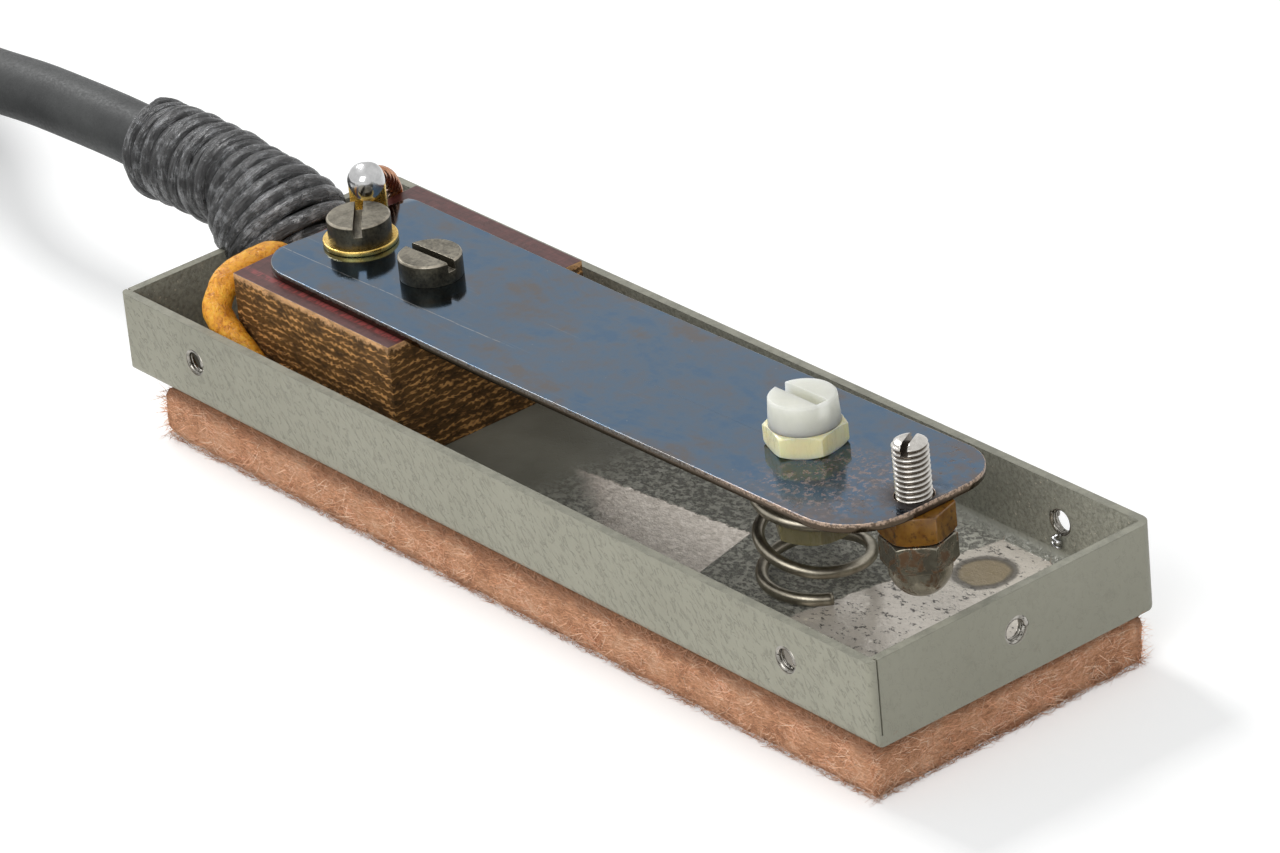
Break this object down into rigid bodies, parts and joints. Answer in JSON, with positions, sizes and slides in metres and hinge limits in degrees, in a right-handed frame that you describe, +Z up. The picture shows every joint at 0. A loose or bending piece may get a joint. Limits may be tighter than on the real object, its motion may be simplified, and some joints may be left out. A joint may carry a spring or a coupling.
{
  "type": "telegraph key",
  "caption": "Small Morse telegraph key: a spring-steel lever with a nylon knob and a domed contact on an insulating block, in a felt-footed metal tray, with a cable and plug.",
  "frame": {"origin": "under the middle of the tray, on the underside of the felt pad", "axes": "+X from the cable end to the contact end, +Y to the far side of the tray, +Z up"},
  "size_m": [0.2116, 0.0779, 0.0232],
  "materials": {
    "felt": "matte",
    "tray_paint": "satin",
    "laminate": "satin",
    "blued_steel": "gloss",
    "screw_steel": "satin",
    "tag_brass": "satin",
    "solder": "gloss",
    "copper": "satin",
    "wire_sleeve": "satin",
    "white_nylon": "satin",
    "yellowed_nylon": "satin",
    "amber_plastic": "gloss",
    "spring_steel": "satin",
    "stud_steel": "gloss",
    "stained_nickel": "satin",
    "cable_sheath": "satin",
    "whipping_cord": "satin",
    "plug_plastic": "satin",
    "plug_metal": "gloss"
  },
  "bodies": {
    "base": {"felt_pad": "felt", "base_tray": "tray_paint", "lever_block": "laminate", "block_fixing_screws": "screw_steel", "lever_clamped_end": "blued_steel", "rear_lever_screw": "screw_steel", "front_lever_screw": "screw_steel", "solder_tag": "tag_brass", "tag_solder": "solder", "tag_wire": "copper", "earth_wire": "wire_sleeve", "earth_solder": "solder", "return_spring": "spring_steel", "cable": "cable_sheath", "cable_whipping": "whipping_cord", "cable_coil": "cable_sheath", "cable_tail": "cable_sheath", "coil_tie": "whipping_cord", "plug_grip": "plug_plastic", "plug_sleeve": "plug_metal", "plug_insulator": "plug_plastic", "plug_tip": "plug_metal"},
    "lever": {"lever_arm": "blued_steel", "knob_screw": "white_nylon", "knob_nut": "yellowed_nylon", "knob_spacer": "yellowed_nylon", "contact_lock_nut": "amber_plastic"},
    "contact": {"contact_screw": "stud_steel", "contact_dome": "stained_nickel"}
  },
  "joints": [
    {"name": "lever_press", "type": "hinge", "parent": "base", "child": "lever", "pos_m": [-0.007, -0.00125, 0.0171], "axis": [0, 1, 0], "range_deg": [0, 4.9], "stiffness_Nm_per_rad": 1.2, "deforming": ["return_spring"]},
    {"name": "contact_turn", "type": "hinge", "parent": "lever", "child": "contact", "pos_m": [0.03909, -0.0014, 0.0183], "axis": [-0.0175, 0, 0.9998], "range_deg": [-180, 180]}
  ]
}
